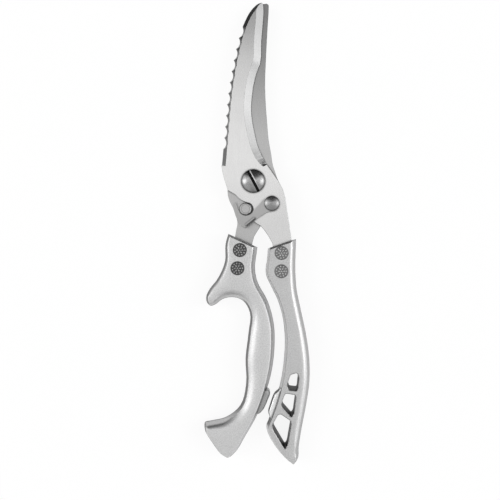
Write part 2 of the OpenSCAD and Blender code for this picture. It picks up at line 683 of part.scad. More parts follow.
module catch_washer() {
    color("dimgray") placed() difference() {
        hole(catch_place, 2 * catch_pin_d, face_z, face_z + catch_washer_t);
        hole(catch_place, catch_pin_d + 2 * shoulder_clear, 0, catch_z + over);
    }
}

module locking_stud() {
    low = -blade_gap / 2;
    chamfer = stud_d / 12;
    color("lightgrey") placed() translate([stud_place.x, stud_place.y, 0]) {
        hole([0, 0], stud_d, low, stud_top_z - chamfer);
        translate([0, 0, stud_top_z - chamfer])
            cylinder(d1 = stud_d, d2 = stud_d - 2 * chamfer, h = chamfer);
        hole([0, 0], stud_pin_d, -face_z, low);
        translate([0, 0, -face_z])
            cylinder(d1 = stud_pin_d + blade_t * 2 / 3, d2 = stud_pin_d, h = blade_t / 3);
    }
}

module hook_grip() {
    color("silver") placed() difference() {
        union() {
            casting(hook_outline, grip_t, round_h, draft);
            casting([for (p = loop(hook_points(hook_boss_shares), grip_steps))
                [p.x, p.y, boss_round]], boss_t, boss_round, draft / 3);
        }
        top_cut(hook_points([for (s = hook_cut_shares) [s.x, s.y, 0]]));
        tang_slot(rear_tang_shares, -face_z);
        rivet_bores(hook_rivets);
    }
}

module window_grip() {
    color("darkgray") placed() difference() {
        union() {
            casting(window_outline, grip_t, round_h, draft);
            casting([for (p = loop(window_points(window_boss_shares), grip_steps))
                [p.x, p.y, boss_round]], boss_t, boss_round, draft / 3);
        }
        top_cut(window_points([for (s = window_cut_shares) [s.x, s.y, 0]]));
        tang_slot(front_tang_shares, blade_gap / 2);
        rivet_bores(window_rivets);
        for (s = opening_shares) opening(s);
    }
}

// A grip rivet's front half: a head on a tube
module rivet_tube(place) {
    seat = grip_t / 2 - rivet_head_t;
    end = -face_z - blade_t / 2;
    color("gray") placed() translate([place.x, place.y, 0]) difference() {
        union() {
            dome(rivet_head_d, rivet_head_t, rivet_rise, seat);
            hole([0, 0], tube_d, end, seat);
        }
        hole([0, 0], pin_d + 2 * rivet_clear, end - over, seat);
    }
}

// A grip rivet's back half: a head flush with the back, and the pin that fills the tube
module rivet_pin(place) {
    low = -grip_t / 2 + rivet_sink;
    color("gray") placed() translate([place.x, place.y, 0]) {
        hole([0, 0], rivet_head_d, low, low + rivet_head_t);
        hole([0, 0], pin_d, low, grip_t / 2 - 2 * rivet_head_t);
    }
}

front_blade();
rear_blade();
pivot_screw();
pivot_washer();
pivot_nut();
return_spring();
catch_plate();
catch_rivet();
catch_washer();
locking_stud();
hook_grip();
window_grip();
rivet_tube(hook_rivets[0]);  // hook_upper_rivet
rivet_pin(hook_rivets[0]);  // hook_upper_rivet_pin
rivet_tube(hook_rivets[1]);  // hook_lower_rivet
rivet_pin(hook_rivets[1]);  // hook_lower_rivet_pin
rivet_tube(window_rivets[0]);  // window_upper_rivet
rivet_pin(window_rivets[0]);  // window_upper_rivet_pin
rivet_tube(window_rivets[1]);  // window_lower_rivet
rivet_pin(window_rivets[1]);  // window_lower_rivet_pin
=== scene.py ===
"""Kitchen shears with a scaler blade and cast grips: finishes, rivet patterns and studio."""

import json
import math

import bmesh
import bpy
from bpy.props import FloatProperty, FloatVectorProperty, IntProperty, PointerProperty
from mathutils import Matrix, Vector

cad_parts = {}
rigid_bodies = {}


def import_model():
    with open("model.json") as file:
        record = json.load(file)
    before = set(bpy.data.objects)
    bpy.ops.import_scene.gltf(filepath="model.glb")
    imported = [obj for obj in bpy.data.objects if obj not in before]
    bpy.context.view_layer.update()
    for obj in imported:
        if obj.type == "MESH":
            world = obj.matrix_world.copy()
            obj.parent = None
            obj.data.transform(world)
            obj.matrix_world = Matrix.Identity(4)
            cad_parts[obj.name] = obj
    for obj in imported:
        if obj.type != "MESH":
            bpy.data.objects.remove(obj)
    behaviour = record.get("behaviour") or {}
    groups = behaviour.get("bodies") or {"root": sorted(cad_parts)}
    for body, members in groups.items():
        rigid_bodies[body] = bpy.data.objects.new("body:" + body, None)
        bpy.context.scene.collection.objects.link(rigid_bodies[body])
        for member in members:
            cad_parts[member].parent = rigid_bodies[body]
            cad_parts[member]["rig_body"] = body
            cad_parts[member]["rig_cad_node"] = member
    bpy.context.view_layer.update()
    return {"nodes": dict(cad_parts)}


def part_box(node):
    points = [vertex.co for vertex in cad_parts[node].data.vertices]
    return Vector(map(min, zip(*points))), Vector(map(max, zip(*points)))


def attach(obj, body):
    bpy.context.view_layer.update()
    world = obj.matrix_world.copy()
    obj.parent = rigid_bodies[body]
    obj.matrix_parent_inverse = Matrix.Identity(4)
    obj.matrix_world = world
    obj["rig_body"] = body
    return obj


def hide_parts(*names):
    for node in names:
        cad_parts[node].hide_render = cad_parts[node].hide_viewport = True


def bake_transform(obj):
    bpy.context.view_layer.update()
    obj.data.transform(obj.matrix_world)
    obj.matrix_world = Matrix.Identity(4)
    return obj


bl_info = {
    "name": "Kitchen shears",
    "version": (1, 0, 0),
    "blender": (4, 5, 0),
    "location": "3D Viewport > Sidebar > Shears",
    "description": "Finishes, rivet patterns and studio for the kitchen shears",
    "category": "Object",
}

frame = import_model()


def centre(node):
    """The middle of a CAD node's box."""
    low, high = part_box(node)
    return (Vector(low) + Vector(high)) / 2


def top(node):
    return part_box(node)[1][2]


def half_width(node):
    low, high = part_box(node)
    return (high[0] - low[0]) / 2


SCREW = centre("pivot_screw")
SCREW_RADIUS = half_width("pivot_screw")
SLOT_TURN = math.radians(118)
SLOT_HALF = 0.00075
STUD = centre("locking_stud")
STUD_RADIUS = half_width("locking_stud")
CATCH_RIVET = centre("catch_rivet")
CATCH_RIVET_RADIUS = half_width("catch_rivet")
HEAD_RADIUS = half_width("hook_upper_rivet")
GRIP_TOP = top("hook_grip")
BOSS_TOP = 0.0105
RIVETS = {
    "hook": ["hook_upper_rivet", "hook_lower_rivet"],
    "window": ["window_upper_rivet", "window_lower_rivet"],
}
BODY_OF_GRIP = {"hook": "rear_half", "window": "front_half"}

# Lines of the plan: the outer line of the catch's tab, the end of the cutting bevel at the
# heel, and the window grip's left wall from its lower corner to the top of its boss
TAB = ((-0.005434, 0.003494), (-0.000545, 0.007494))
HEEL_LINE = ((0.00295, 0.03803), (0.00517, 0.03803))
SHADED_WALL = ((0.00569, -0.1058), (0.0135, -0.0859))
# Points of the plan: the middle of the painted light on the bevel's end at the heel, and of the
# painted shade spot below it
HEEL_LIGHT = (0.0030, 0.0400)
HEEL_SHADE_SPOT = (0.0037, 0.0382)
# Middles and reaches of the three openings, for the painted shade on their walls
OPENINGS = (((0.0200, -0.0815), 0.0075), ((0.0179, -0.0942), 0.0085), ((0.0143, -0.1085), 0.0115))

# The toothed back is dark above this Y, and the painted shades along the blades end near the tips
BAND_END = 0.0355
NEAR_TIPS = 0.116
# Stretches of Y for painted shade: where the shade beside steps deepens, where the front blade's
# face lightens above the pivot and darkens again, where its bevel darkens down to the heel and up
# to the tip, and where the rear blade darkens
SHADE_DEEPENS = (0.020, 0.027)
FRONT_ROOT = (0.005, 0.035)
FRONT_END = (0.095, NEAR_TIPS)
LOWER_BEVEL = (0.046, 0.082)
UPPER_BEVEL = (0.074, NEAR_TIPS)
REAR_END = (0.055, 0.100)

# How upright a normal is on the flats, from the first of these to the second
FLAT = (0.90, 0.97)
# The darkness of the painted shadow beside the stud, and the softness of a sharp border
STUD_SHADOW = 0.75
HAIR = 1e-4


# ---------------------------------------------------------------- nodes


def put(tree, kind, inputs=None, **settings):
    """Adds a node. Its inputs are given by name or number, as values or as sockets to link."""
    made = tree.nodes.new(kind)
    for key, value in settings.items():
        setattr(made, key, value)
    for key, value in (inputs or {}).items():
        socket = made.inputs[key]
        if isinstance(value, bpy.types.NodeSocket):
            tree.links.new(value, socket)
        else:
            socket.default_value = value
    return made


def maths(tree, operation, a, b=0.0, clamp=False):
    made = put(tree, "ShaderNodeMath", {0: a, 1: b}, operation=operation, use_clamp=clamp)
    return made.outputs[0]


def times(tree, first, *others):
    """The values multiplied together."""
    for other in others:
        first = maths(tree, "MULTIPLY", first, other)
    return first


def rest_of(tree, value):
    """What the value leaves of 1."""
    return maths(tree, "SUBTRACT", 1.0, value)


def vectors(tree, operation, a, b=(0, 0, 0)):
    made = put(tree, "ShaderNodeVectorMath", {0: a, 1: b}, operation=operation)
    return made.outputs["Vector"]


def dot(tree, a, b):
    made = put(tree, "ShaderNodeVectorMath", {0: a, 1: b}, operation="DOT_PRODUCT")
    return made.outputs["Value"]


def ramp(tree, value, low, high, to_low=0.0, to_high=1.0, smooth=True):
    """The value carried from one range to another, held at both ends."""
    made = put(
        tree,
        "ShaderNodeMapRange",
        {"Value": value, "From Min": low, "From Max": high, "To Min": to_low, "To Max": to_high},
        interpolation_type="SMOOTHSTEP" if smooth else "LINEAR",
    )
    return made.outputs["Result"]


def spread(tree, noise, low, high):
    """The usual range of a noise carried to another."""
    return ramp(tree, noise, 0.3, 0.7, low, high, smooth=False)


def between(tree, value, rise, fall):
    """1 from the end of the rise to the start of the fall, 0 outside both."""
    return times(tree, ramp(tree, value, *rise), ramp(tree, value, *fall, 1.0, 0.0))


def mixed(tree, factor, a, b, blend="MIX"):
    made = put(
        tree, "ShaderNodeMix", {0: factor, 6: a, 7: b}, data_type="RGBA", blend_type=blend
    )
    return made.outputs[2]


def mixed_value(tree, factor, a, b):
    return put(tree, "ShaderNodeMix", {0: factor, 2: a, 3: b}, data_type="FLOAT").outputs[0]


def grey(level, warm=0.0):
    """A grey with a touch of warmth, as a linear colour with alpha."""
    return (level * (1 + warm), level, level * (1 - warm), 1.0)


def grey_from(tree, value):
    return put(tree, "ShaderNodeCombineXYZ", {0: value, 1: value, 2: value}).outputs[0]


def shaded(tree, colour, shade):
    """The colour multiplied by a value."""
    return mixed(tree, 1.0, colour, grey_from(tree, shade), "MULTIPLY")


def faded(tree, *amounts):
    """1 less each mask times its strength, multiplied together. A negative strength brightens."""
    return times(tree, *(rest_of(tree, times(tree, *amount)) for amount in amounts))


# ---------------------------------------------------------------- masks


def own_place(tree):
    """The object's own coordinates."""
    return put(tree, "ShaderNodeTexCoord").outputs["Object"]


class Surface:
    """Sockets that say where a point of the surface lies and which way it faces."""

    def __init__(self, tree):
        coordinates = put(tree, "ShaderNodeTexCoord").outputs
        self.place, self.side = coordinates["Object"], coordinates["Normal"]
        at = put(tree, "ShaderNodeSeparateXYZ", {0: self.place}).outputs
        self.along, self.height = at["Y"], at["Z"]
        facing = put(tree, "ShaderNodeSeparateXYZ", {0: self.side}).outputs
        self.rightward = facing["X"]
        self.upright = maths(tree, "ABSOLUTE", facing["Z"])


def grain(tree, scale, detail=2.0, roughness=0.5, stretch=(1, 1, 1), turn=0.0):
    """Noise on the object's own coordinates, stretched along one axis for ground lines."""
    turned = put(
        tree,
        "ShaderNodeMapping",
        {"Vector": own_place(tree), "Rotation": (0, 0, turn), "Scale": stretch},
    )
    made = put(
        tree,
        "ShaderNodeTexNoise",
        {"Vector": turned.outputs[0], "Scale": scale, "Detail": detail, "Roughness": roughness},
    )
    return made.outputs["Fac"]


def scratches(tree, scale, turn, width):
    """Long thin scratches: the narrow middle band of a stretched noise."""
    lines = grain(tree, scale, 1.0, 0.4, (1, 0.035, 1), turn)
    off = maths(tree, "ABSOLUTE", maths(tree, "SUBTRACT", lines, 0.5))
    patches = ramp(tree, grain(tree, scale / 30, 2.0), 0.5, 0.62)
    return times(tree, ramp(tree, off, 0.0, width, 1.0, 0.0), patches)


def spot(tree, place, middle, near, far):
    """1 within near of a point of the plan, 0 past far."""
    flat = vectors(tree, "MULTIPLY", place, (1, 1, 0))
    inputs = {0: flat, 1: (middle[0], middle[1], 0)}
    away = put(tree, "ShaderNodeVectorMath", inputs, operation="DISTANCE").outputs["Value"]
    return ramp(tree, away, near, far, 1.0, 0.0)


def beside_line(tree, place, line, low, high):
    """1 in a band beside a line of the plan, from low to high at its left, 0 outside."""
    start, end = (Vector((*point, 0)) for point in line)
    course, length = (end - start).normalized(), (end - start).length
    soft = (high - low) / 4
    moved = vectors(tree, "SUBTRACT", place, start)
    off = dot(tree, moved, (-course.y, course.x, 0))
    way = dot(tree, moved, course)
    return times(
        tree,
        between(tree, off, (low - soft, low + soft), (high - soft, high + soft)),
        between(tree, way, (-soft, soft), (length - soft, length + soft)),
    )


def painted_crevice_shade(tree, reach, darkest):
    """1 on open surfaces, darker beside a step or in a gap: painted shade from ambient occlusion.
    """
    found = put(tree, "ShaderNodeAmbientOcclusion", {"Distance": reach}, samples=16)
    return ramp(tree, found.outputs["AO"], 0.55, 0.96, darkest, 1.0, smooth=False)


def beside_stud(tree, place):
    """1 in the crescent of painted shadow at the right of the locking stud."""
    on_stud = spot(tree, place, STUD, STUD_RADIUS - HAIR, STUD_RADIUS + HAIR)
    right_of_stud = STUD + Vector((7e-4, 1e-4, 0))
    near = spot(tree, place, right_of_stud, STUD_RADIUS, STUD_RADIUS + 6e-4)
    return times(tree, near, rest_of(tree, on_stud))


def slot_shade_and_glint(tree, place):
    """The screw's slot as a mask for its painted shade, and a painted highlight at one side of it.
    """
    moved = vectors(tree, "SUBTRACT", place, SCREW)
    across = dot(tree, moved, (-math.sin(SLOT_TURN), math.cos(SLOT_TURN), 0))
    way = dot(tree, moved, (math.cos(SLOT_TURN), math.sin(SLOT_TURN), 0))
    off = maths(tree, "ABSOLUTE", across)
    slot = ramp(tree, off, SLOT_HALF + 1e-5, SLOT_HALF + 3e-5, 1.0, 0.0)
    rise = (-SLOT_HALF - 8e-4, -SLOT_HALF - 4e-4)
    fall = (-SLOT_HALF - 1e-4, -SLOT_HALF)
    brighter_up = ramp(tree, way, -0.0030, 0.0010, 0.2, 1.2)
    return slot, times(tree, between(tree, across, rise, fall), brighter_up)


# ---------------------------------------------------------------- marks


def front_marks(tree, surface):
    """The front blade is painted darker towards its ends. Its bevel has a painted highlight in a
    patch near the heel, and painted shade in a line and a spot where it ends."""
    slope = ramp(tree, surface.upright, *FLAT, 1.0, 0.0)
    heel_light = times(tree, slope, spot(tree, surface.place, HEEL_LIGHT, 0.0016, 0.0062))
    heel_spot_shade = times(tree, slope, spot(tree, surface.place, HEEL_SHADE_SPOT, 0.0007, 0.0014))
    heel_line_shade = beside_line(tree, surface.place, HEEL_LINE, -0.0003, 0.0003)
    bevel_shade = times(tree, slope, ramp(tree, surface.along, *LOWER_BEVEL, 1.0, 0.0))
    return times(
        tree,
        faded(tree, (heel_light, -0.52), (heel_line_shade, 0.5), (heel_spot_shade, 0.5), (bevel_shade, 0.15)),
        ramp(tree, surface.along, *FRONT_ROOT, 0.92, 1.0),
        ramp(tree, surface.along, *FRONT_END, 1.0, 0.84),
    )


def rear_marks(tree, surface):
    """The rear blade is painted darker towards its tip, and a painted shadow lies beside the stud.
    """
    fading = ramp(tree, surface.along, *REAR_END, 1.0, 0.75, smooth=False)
    return times(tree, fading, faded(tree, (beside_stud(tree, surface.place), STUD_SHADOW)))


def catch_marks(tree, surface):
    """The thumb tab's top edge is darker, and a painted shadow lies beside the stud."""
    level = top("catch_plate")
    high = ramp(tree, surface.height, level - 0.0012, level - 0.0004)
    outer = beside_line(tree, surface.place, TAB, -0.0004, 0.0008)
    painted_shade = beside_stud(tree, surface.place)
    return faded(tree, (times(tree, high, outer), 0.8), (painted_shade, STUD_SHADOW))


def stud_marks(tree, surface):
    """The groove that the lathe left in the stud's top, and painted shade at its rim."""
    to_outside = spot(tree, surface.place, STUD, 0.0024, 0.0026)
    to_inside = spot(tree, surface.place, STUD, 0.0020, 0.0022)
    groove = maths(tree, "SUBTRACT", to_outside, to_inside)
    face = spot(tree, surface.place, STUD, STUD_RADIUS - 3e-4, STUD_RADIUS - HAIR)
    return faded(tree, (groove, 0.35), (rest_of(tree, face), 0.8))


def window_walls(tree, surface, wall):
    """The window grip's wall colour, with painted shade inside the openings and on its shaded wall.
    """
    flat = vectors(tree, "MULTIPLY", surface.place, (1, 1, 0))
    inside = 0.0
    for (x, y), reach in OPENINGS:
        inward = vectors(tree, "NORMALIZE", vectors(tree, "SUBTRACT", (x, y, 0), flat))
        facing = ramp(tree, dot(tree, inward, surface.side), 0.2, 0.45)
        here = times(tree, facing, spot(tree, surface.place, (x, y), reach, reach * 1.1))
        inside = maths(tree, "MAXIMUM", inside, here)
    wall = mixed(tree, inside, wall, grey(0.05))
    shaded_part = beside_line(tree, surface.place, SHADED_WALL, -0.0011, 0.0034)
    return mixed(tree, shaded_part, wall, grey(0.15))


# ---------------------------------------------------------------- materials


def new_tree(name):
    made = bpy.data.materials.new(name)
    made.use_nodes = True
    made.node_tree.nodes.clear()
    return made.node_tree


def bumped(tree, height, depth):
    inputs = {"Height": height, "Distance": depth, "Strength": 1.0}
    return put(tree, "ShaderNodeBump", inputs).outputs[0]


def finish_material(name, colour, roughness, normal, metallic=1.0):
    """Closes a material with its shader. Colour, roughness and normal are sockets of its tree."""
    tree = colour.id_data
    shader = put(
        tree,
        "ShaderNodeBsdfPrincipled",
        {"Base Color": colour, "Roughness": roughness, "Metallic": metallic, "Normal": normal},
    )
    put(tree, "ShaderNodeOutputMaterial", {"Surface": shader.outputs[0]})
    return bpy.data.materials[name]


def ground_steel(name, face, bevel, back, roughness, reach=0.0012, painted_shade=0.75, marks=None):
    """Satin steel: ground lines along the blade, a cross-ground bevel, a darker toothed back.
    Reach is how far the painted shade beside a step lies, and the next argument is the darkest
    it gets below the heel. marks(tree, surface) may give one more shade for the whole surface."""
    tree = new_tree(name)
    surface = Surface(tree)
    flat = ramp(tree, surface.upright, *FLAT)
    fine = grain(tree, 5200, 2.0, 0.6, (1, 0.03, 1))
    broad = grain(tree, 700, 2.0, 0.5, (1, 0.05, 1))
    cloud = grain(tree, 90, 3.0, 0.6)
    cross = grain(tree, 4200, 2.0, 0.6, (0.05, 1, 1))
    lines = mixed_value(tree, flat, cross, fine)
    scratch = scratches(tree, 900, 0.35, 0.012)

    # The slopes to the left are the toothed back, and those to the right the bevel and walls.
    # Painted shade: the back and the bevel darken towards the tips, and the steep walls are nearly
    # black
    wear_and_shade = ramp(
        tree, surface.along, BAND_END, NEAR_TIPS, back * 1.25, back * 0.08, smooth=False
    )
    toothed = ramp(tree, surface.along, BAND_END, BAND_END + 5e-4)
    left = mixed(tree, toothed, grey(face * 0.95), grey_from(tree, wear_and_shade))
    ground = ramp(tree, surface.along, *UPPER_BEVEL, bevel, bevel * 0.92, smooth=False)
    on_bevel = ramp(tree, surface.upright, 0.6, 0.78)
    right = mixed(tree, on_bevel, grey(0.02), grey_from(tree, ground))
    slopes = mixed(tree, ramp(tree, surface.rightward, -0.05, 0.05), left, right)
    base = mixed(tree, flat, slopes, grey(face, 0.004))

    shade = times(tree, spread(tree, broad, 0.99, 1.006), spread(tree, cloud, 0.98, 1.01))
    shade = maths(tree, "SUBTRACT", shade, times(tree, scratch, 0.10))
    # Painted shade on the flats beside steps and in gaps, lighter below the heel, and a painted
    # shade line on the narrow facet along the bevel's border
    darkest = ramp(tree, surface.along, *SHADE_DEEPENS, painted_shade, 0.15, smooth=False)
    shade_in_gaps = mixed_value(tree, flat, 1.0, painted_crevice_shade(tree, reach, darkest))
    border = between(tree, surface.upright, (0.92, 0.94), (0.975, 0.99))
    shade = times(tree, shade, shade_in_gaps, faded(tree, (border, 0.7)))
    if marks is not None:
        shade = times(tree, shade, marks(tree, surface))

    rough = ramp(tree, lines, 0.2, 0.8, roughness - 0.03, roughness + 0.03, smooth=False)
    rough = maths(tree, "SUBTRACT", rough, times(tree, scratch, 0.08))
    height = maths(tree, "SUBTRACT", lines, scratch)
    colour = shaded(tree, base, shade)
    return finish_material(name, colour, rough, bumped(tree, height, 2.5e-6))


def polished_steel(name, level, roughness, slotted=False, head=None):
    """Bright turned steel with fine wear lines from cloths and screwdrivers. A head, given as
    its middle and radius, is painted darker at its rim: painted shade."""
    tree = new_tree(name)
    wear_and_shade = maths(
        tree, "MAXIMUM", scratches(tree, 1500, 0.9, 0.02), scratches(tree, 1100, -0.5, 0.018)
    )
    cloud = grain(tree, 500, 3.0, 0.6)
    shade = maths(tree, "SUBTRACT", spread(tree, cloud, 0.82, 1.10), times(tree, wear_and_shade, 0.15))
    metallic = 1.0
    if slotted:
        # The slot is painted dark as painted shade, and a painted highlight, less metallic so that
        # it stays bright, runs along one side of it
        slot, slot_glint = slot_shade_and_glint(tree, own_place(tree))
        shade = times(tree, shade, faded(tree, (slot, 0.97)))
        shade = maths(tree, "ADD", shade, slot_glint)
        metallic = rest_of(tree, maths(tree, "MULTIPLY", slot_glint, 0.8, clamp=True))
    if head is not None:
        middle, radius = head
        inner = spot(tree, own_place(tree), middle, radius * 0.84, radius * 0.97)
        shade = times(tree, shade, ramp(tree, inner, 0.0, 1.0, 0.35, 1.0, smooth=False))
    colour = shaded(tree, grey(level), shade)
    rough = spread(tree, cloud, roughness, roughness + 0.06)
    rough = maths(tree, "ADD", rough, times(tree, wear_and_shade, 0.15))
    return finish_material(name, colour, rough, bumped(tree, wear_and_shade, -2e-6), metallic)


def cast_metal(
    name, face, left_wall, right_wall, boss, grain_depth, roughness=0.42, dark_walls=None
):
    """Tumbled casting: a fine pebbled skin on the faces, the walls and the boss. The walls are
    painted at one level where they face left and another where they face right: painted light
    and shade. dark_walls(tree, surface, wall) may darken a part of the walls."""
    tree = new_tree(name)
    surface = Surface(tree)
    skin = grain(tree, 1700, 3.0, 0.65)
    pebble = grain(tree, 900, 2.0, 0.5)
    cloud = grain(tree, 60, 3.0, 0.6)

    # Painted light and shade: walls facing left and those facing right get their own levels
    past_left = ramp(tree, surface.rightward, -0.9, -0.35)
    wall = mixed(tree, past_left, grey(left_wall), grey(right_wall))
    if dark_walls is not None:
        wall = dark_walls(tree, surface, wall)
    on_face = ramp(tree, surface.upright, 0.2, 0.78)
    base = mixed(tree, on_face, wall, grey(face))
    low = ramp(tree, surface.height, BOSS_TOP + 5e-5, BOSS_TOP + 2e-4, 1.0, 0.0)
    on_boss = times(tree, low, ramp(tree, surface.upright, 0.7, 0.9))
    base = mixed(tree, on_boss, base, grey(boss))
    # Painted highlight: the rounded right edges are painted bright
    painted_ridge_highlight = times(
        tree,
        between(tree, surface.upright, (0.6, 0.72), (0.9, 0.985)),
        ramp(tree, surface.rightward, 0.1, 0.3, 0.0, 0.6),
        rest_of(tree, low),
    )
    base = mixed(tree, painted_ridge_highlight, base, grey(0.89))

    shade = times(tree, spread(tree, skin, 0.82, 1.16), spread(tree, cloud, 0.97, 1.02))
    # Painted shade beside steps, round the rivets and in the openings
    shade = times(tree, shade, painted_crevice_shade(tree, 0.001, 0.35))
    rough = ramp(tree, on_face, 0.0, 1.0, roughness + 0.12, roughness, smooth=False)
    rough = maths(tree, "ADD", rough, spread(tree, skin, -0.04, 0.04))
    height = maths(tree, "ADD", skin, times(tree, pebble, 0.8))
    colour = shaded(tree, base, shade)
    return finish_material(name, colour, rough, bumped(tree, height, grain_depth))


def dark_steel(name, level, roughness):
    """Heat-darkened small parts: washers, spring and sunk grounds."""
    tree = new_tree(name)
    cloud = grain(tree, 1200, 3.0, 0.6)
    colour = shaded(tree, grey(level), spread(tree, cloud, 0.75, 1.2))
    rough = spread(tree, cloud, roughness - 0.06, roughness + 0.08)
    return finish_material(name, colour, rough, bumped(tree, cloud, 6e-6))


# ---------------------------------------------------------------- meshes


def smooth_copy(node, name, angle):
    """A CAD node's mesh as one closed surface with smooth rounded parts and crisp edges."""
    made = frame["nodes"][node].copy()
    made.data = frame["nodes"][node].data.copy()
    made.name = made.data.name = name
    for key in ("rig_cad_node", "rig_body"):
        if key in made:
            del made[key]
    made.parent = None
    bpy.context.scene.collection.objects.link(made)
    work = bmesh.new()
    work.from_mesh(made.data)
    bmesh.ops.remove_doubles(work, verts=work.verts, dist=1e-7)
    for face in work.faces:
        face.smooth = True
    for edge in work.edges:
        edge.smooth = len(edge.link_faces) == 2 and edge.calc_face_angle(math.pi) < angle
    work.to_mesh(made.data)
    work.free()
    made.data.validate()
    return made


def is_level(face):
    return face.normal.z > 0.999


def is_steep(face):
    return abs(face.normal.z) < 0.25


def is_bevel(face):
    return 0.7 < face.normal.z < 0.9 and face.normal.x > 0.3


def edges_between(work, first, second):
    """Edges with one face that passes the first test and one that passes the second."""
    found = []
    for edge in work.edges:
        if len(edge.link_faces) == 2:
            a, b = edge.link_faces
            if (first(a) and second(b)) or (first(b) and second(a)):
                found.append(edge)
    return found


def grind(obj, first, width, second=is_steep):
    """Grinds a narrow chamfer where faces that pass the first test meet those of the second."""
    work = bmesh.new()
    work.from_mesh(obj.data)
    work.normal_update()
    rim = edges_between(work, first, second)
    made = bmesh.ops.bevel(
        work, geom=rim, offset=width, segments=1, affect="EDGES", clamp_overlap=True
    )
    for face in made["faces"]:
        face.smooth = False
        for edge in face.edges:
            edge.smooth = False
    work.to_mesh(obj.data)
    work.free()


def break_edges(obj, width):
    """Breaks the upper outline of a flat plate's face."""
    large = 2e-6
    level = max(p.center.z for p in obj.data.polygons if is_level(p) and p.area > large)

    def on_top(face):
        return is_level(face) and abs(face.calc_center_median().z - level) < 1e-5

    grind(obj, on_top, width)


def hone(obj, width, soften):
    """Puts the narrow second bevel along the cutting edge, and softens the bevel's border."""
    grind(obj, is_bevel, width)
    grind(obj, is_bevel, soften, is_level)


def grown(obj, tree, values):
    """Runs a Geometry Nodes tree on an object with values for its named inputs, and leaves
    the result as a plain mesh."""
    modifier = obj.modifiers.new("shape", "NODES")
    modifier.node_group = tree
    for item in tree.interface.items_tree:
        if item.item_type == "SOCKET" and item.in_out == "INPUT" and item.name in values:
            modifier[item.identifier] = values[item.name]
    graph = bpy.context.evaluated_depsgraph_get()
    mesh = bpy.data.meshes.new_from_object(obj.evaluated_get(graph))
    obj.modifiers.clear()
    obj.data = mesh
    return obj


def shape_tree(name, sockets):
    """A Geometry Nodes tree with named inputs: the tree and its input node's sockets."""
    tree = bpy.data.node_groups.new(name, "GeometryNodeTree")
    tree.interface.new_socket("Geometry", in_out="INPUT", socket_type="NodeSocketGeometry")
    for label, kind in sockets:
        tree.interface.new_socket(label, in_out="INPUT", socket_type="NodeSocket" + kind)
    tree.interface.new_socket("Geometry", in_out="OUTPUT", socket_type="NodeSocketGeometry")
    return tree, tree.nodes.new("NodeGroupInput").outputs


def ended(tree, shape, material):
    """Closes a tree: instances made real, the metal set."""
    real = put(tree, "GeometryNodeRealizeInstances", {0: shape}).outputs[0]
    metal = put(tree, "GeometryNodeSetMaterial", {"Geometry": real, "Material": material})
    put(tree, "NodeGroupOutput", {"Geometry": metal.outputs[0]})
    return tree


def bead(tree, length, width, depth):
    """A flattened ball."""
    ball = put(tree, "GeometryNodeMeshIcoSphere", {"Radius": 1.0, "Subdivisions": 2})
    size = put(tree, "ShaderNodeCombineXYZ", {0: length, 1: width, 2: depth}).outputs[0]
    inputs = {"Geometry": ball.outputs["Mesh"], "Scale": size}
    return put(tree, "GeometryNodeTransform", inputs).outputs[0]


def rosette_tree():
    """A rivet head's pattern on each point: a middle bead, petals and a ring of dots."""
    tree, given = shape_tree(
        "rosette",
        (
            ("Petals", "Int"),
            ("Dots", "Int"),
            ("Head Radius", "Float"),
            ("Head Rise", "Float"),
            ("Relief", "Float"),
            ("Metal", "Material"),
        ),
    )
    radius, rise, relief = given["Head Radius"], given["Head Rise"], given["Relief"]

    def head_bead(length, width):
        """A bead with its measures as parts of the head's radius."""
        return bead(tree, times(tree, radius, length), times(tree, radius, width), relief)

    def ringed(count, part, length, width):
        """Beads on a ring at a part of the head's radius, pointing out, sunk with the dome."""
        inputs = {"Vertices": count, "Radius": times(tree, radius, part)}
        ring = put(tree, "GeometryNodeMeshCircle", inputs).outputs[0]
        position = put(tree, "GeometryNodeInputPosition").outputs[0]
        at = put(tree, "ShaderNodeSeparateXYZ", {0: position}).outputs
        turn = maths(tree, "ARCTAN2", at["Y"], at["X"])
        set_on = put(
            tree,
            "GeometryNodeInstanceOnPoints",
            {
                "Points": ring,
                "Instance": head_bead(length, width),
                "Rotation": put(tree, "ShaderNodeCombineXYZ", {2: turn}).outputs[0],
            },
        ).outputs[0]
        down = put(tree, "ShaderNodeCombineXYZ", {2: times(tree, rise, -part * part)})
        inputs = {"Geometry": set_on, "Translation": down.outputs[0]}
        return put(tree, "GeometryNodeTransform", inputs).outputs[0]

    joined = put(tree, "GeometryNodeJoinGeometry")
    for piece in (
        head_bead(length=0.11, width=0.11),
        ringed(given["Petals"], part=0.38, length=0.17, width=0.09),
        ringed(given["Dots"], part=0.72, length=0.11, width=0.11),
    ):
        tree.links.new(piece, joined.inputs[0])
    inputs = {"Points": given["Geometry"], "Instance": joined.outputs[0]}
    heads = put(tree, "GeometryNodeInstanceOnPoints", inputs)
    return ended(tree, heads.outputs[0], given["Metal"])


def seam_tree():
    """The fine flash line that a two-part mould leaves along an outline."""
    tree, given = shape_tree("parting_line", (("Half Width", "Float"), ("Metal", "Material")))
    line = put(tree, "GeometryNodeMeshToCurve", {"Mesh": given["Geometry"]}).outputs[0]
    inputs = {"Resolution": 6, "Radius": given["Half Width"]}
    wire = put(tree, "GeometryNodeCurvePrimitiveCircle", inputs).outputs[0]
    flash = put(tree, "GeometryNodeCurveToMesh", {"Curve": line, "Profile Curve": wire})
    return ended(tree, flash.outputs[0], given["Metal"])


def points_object(name, points, edges=()):
    mesh = bpy.data.meshes.new(name)
    mesh.from_pydata(points, edges, [])
    made = bpy.data.objects.new(name, mesh)
    bpy.context.scene.collection.objects.link(made)
    return made


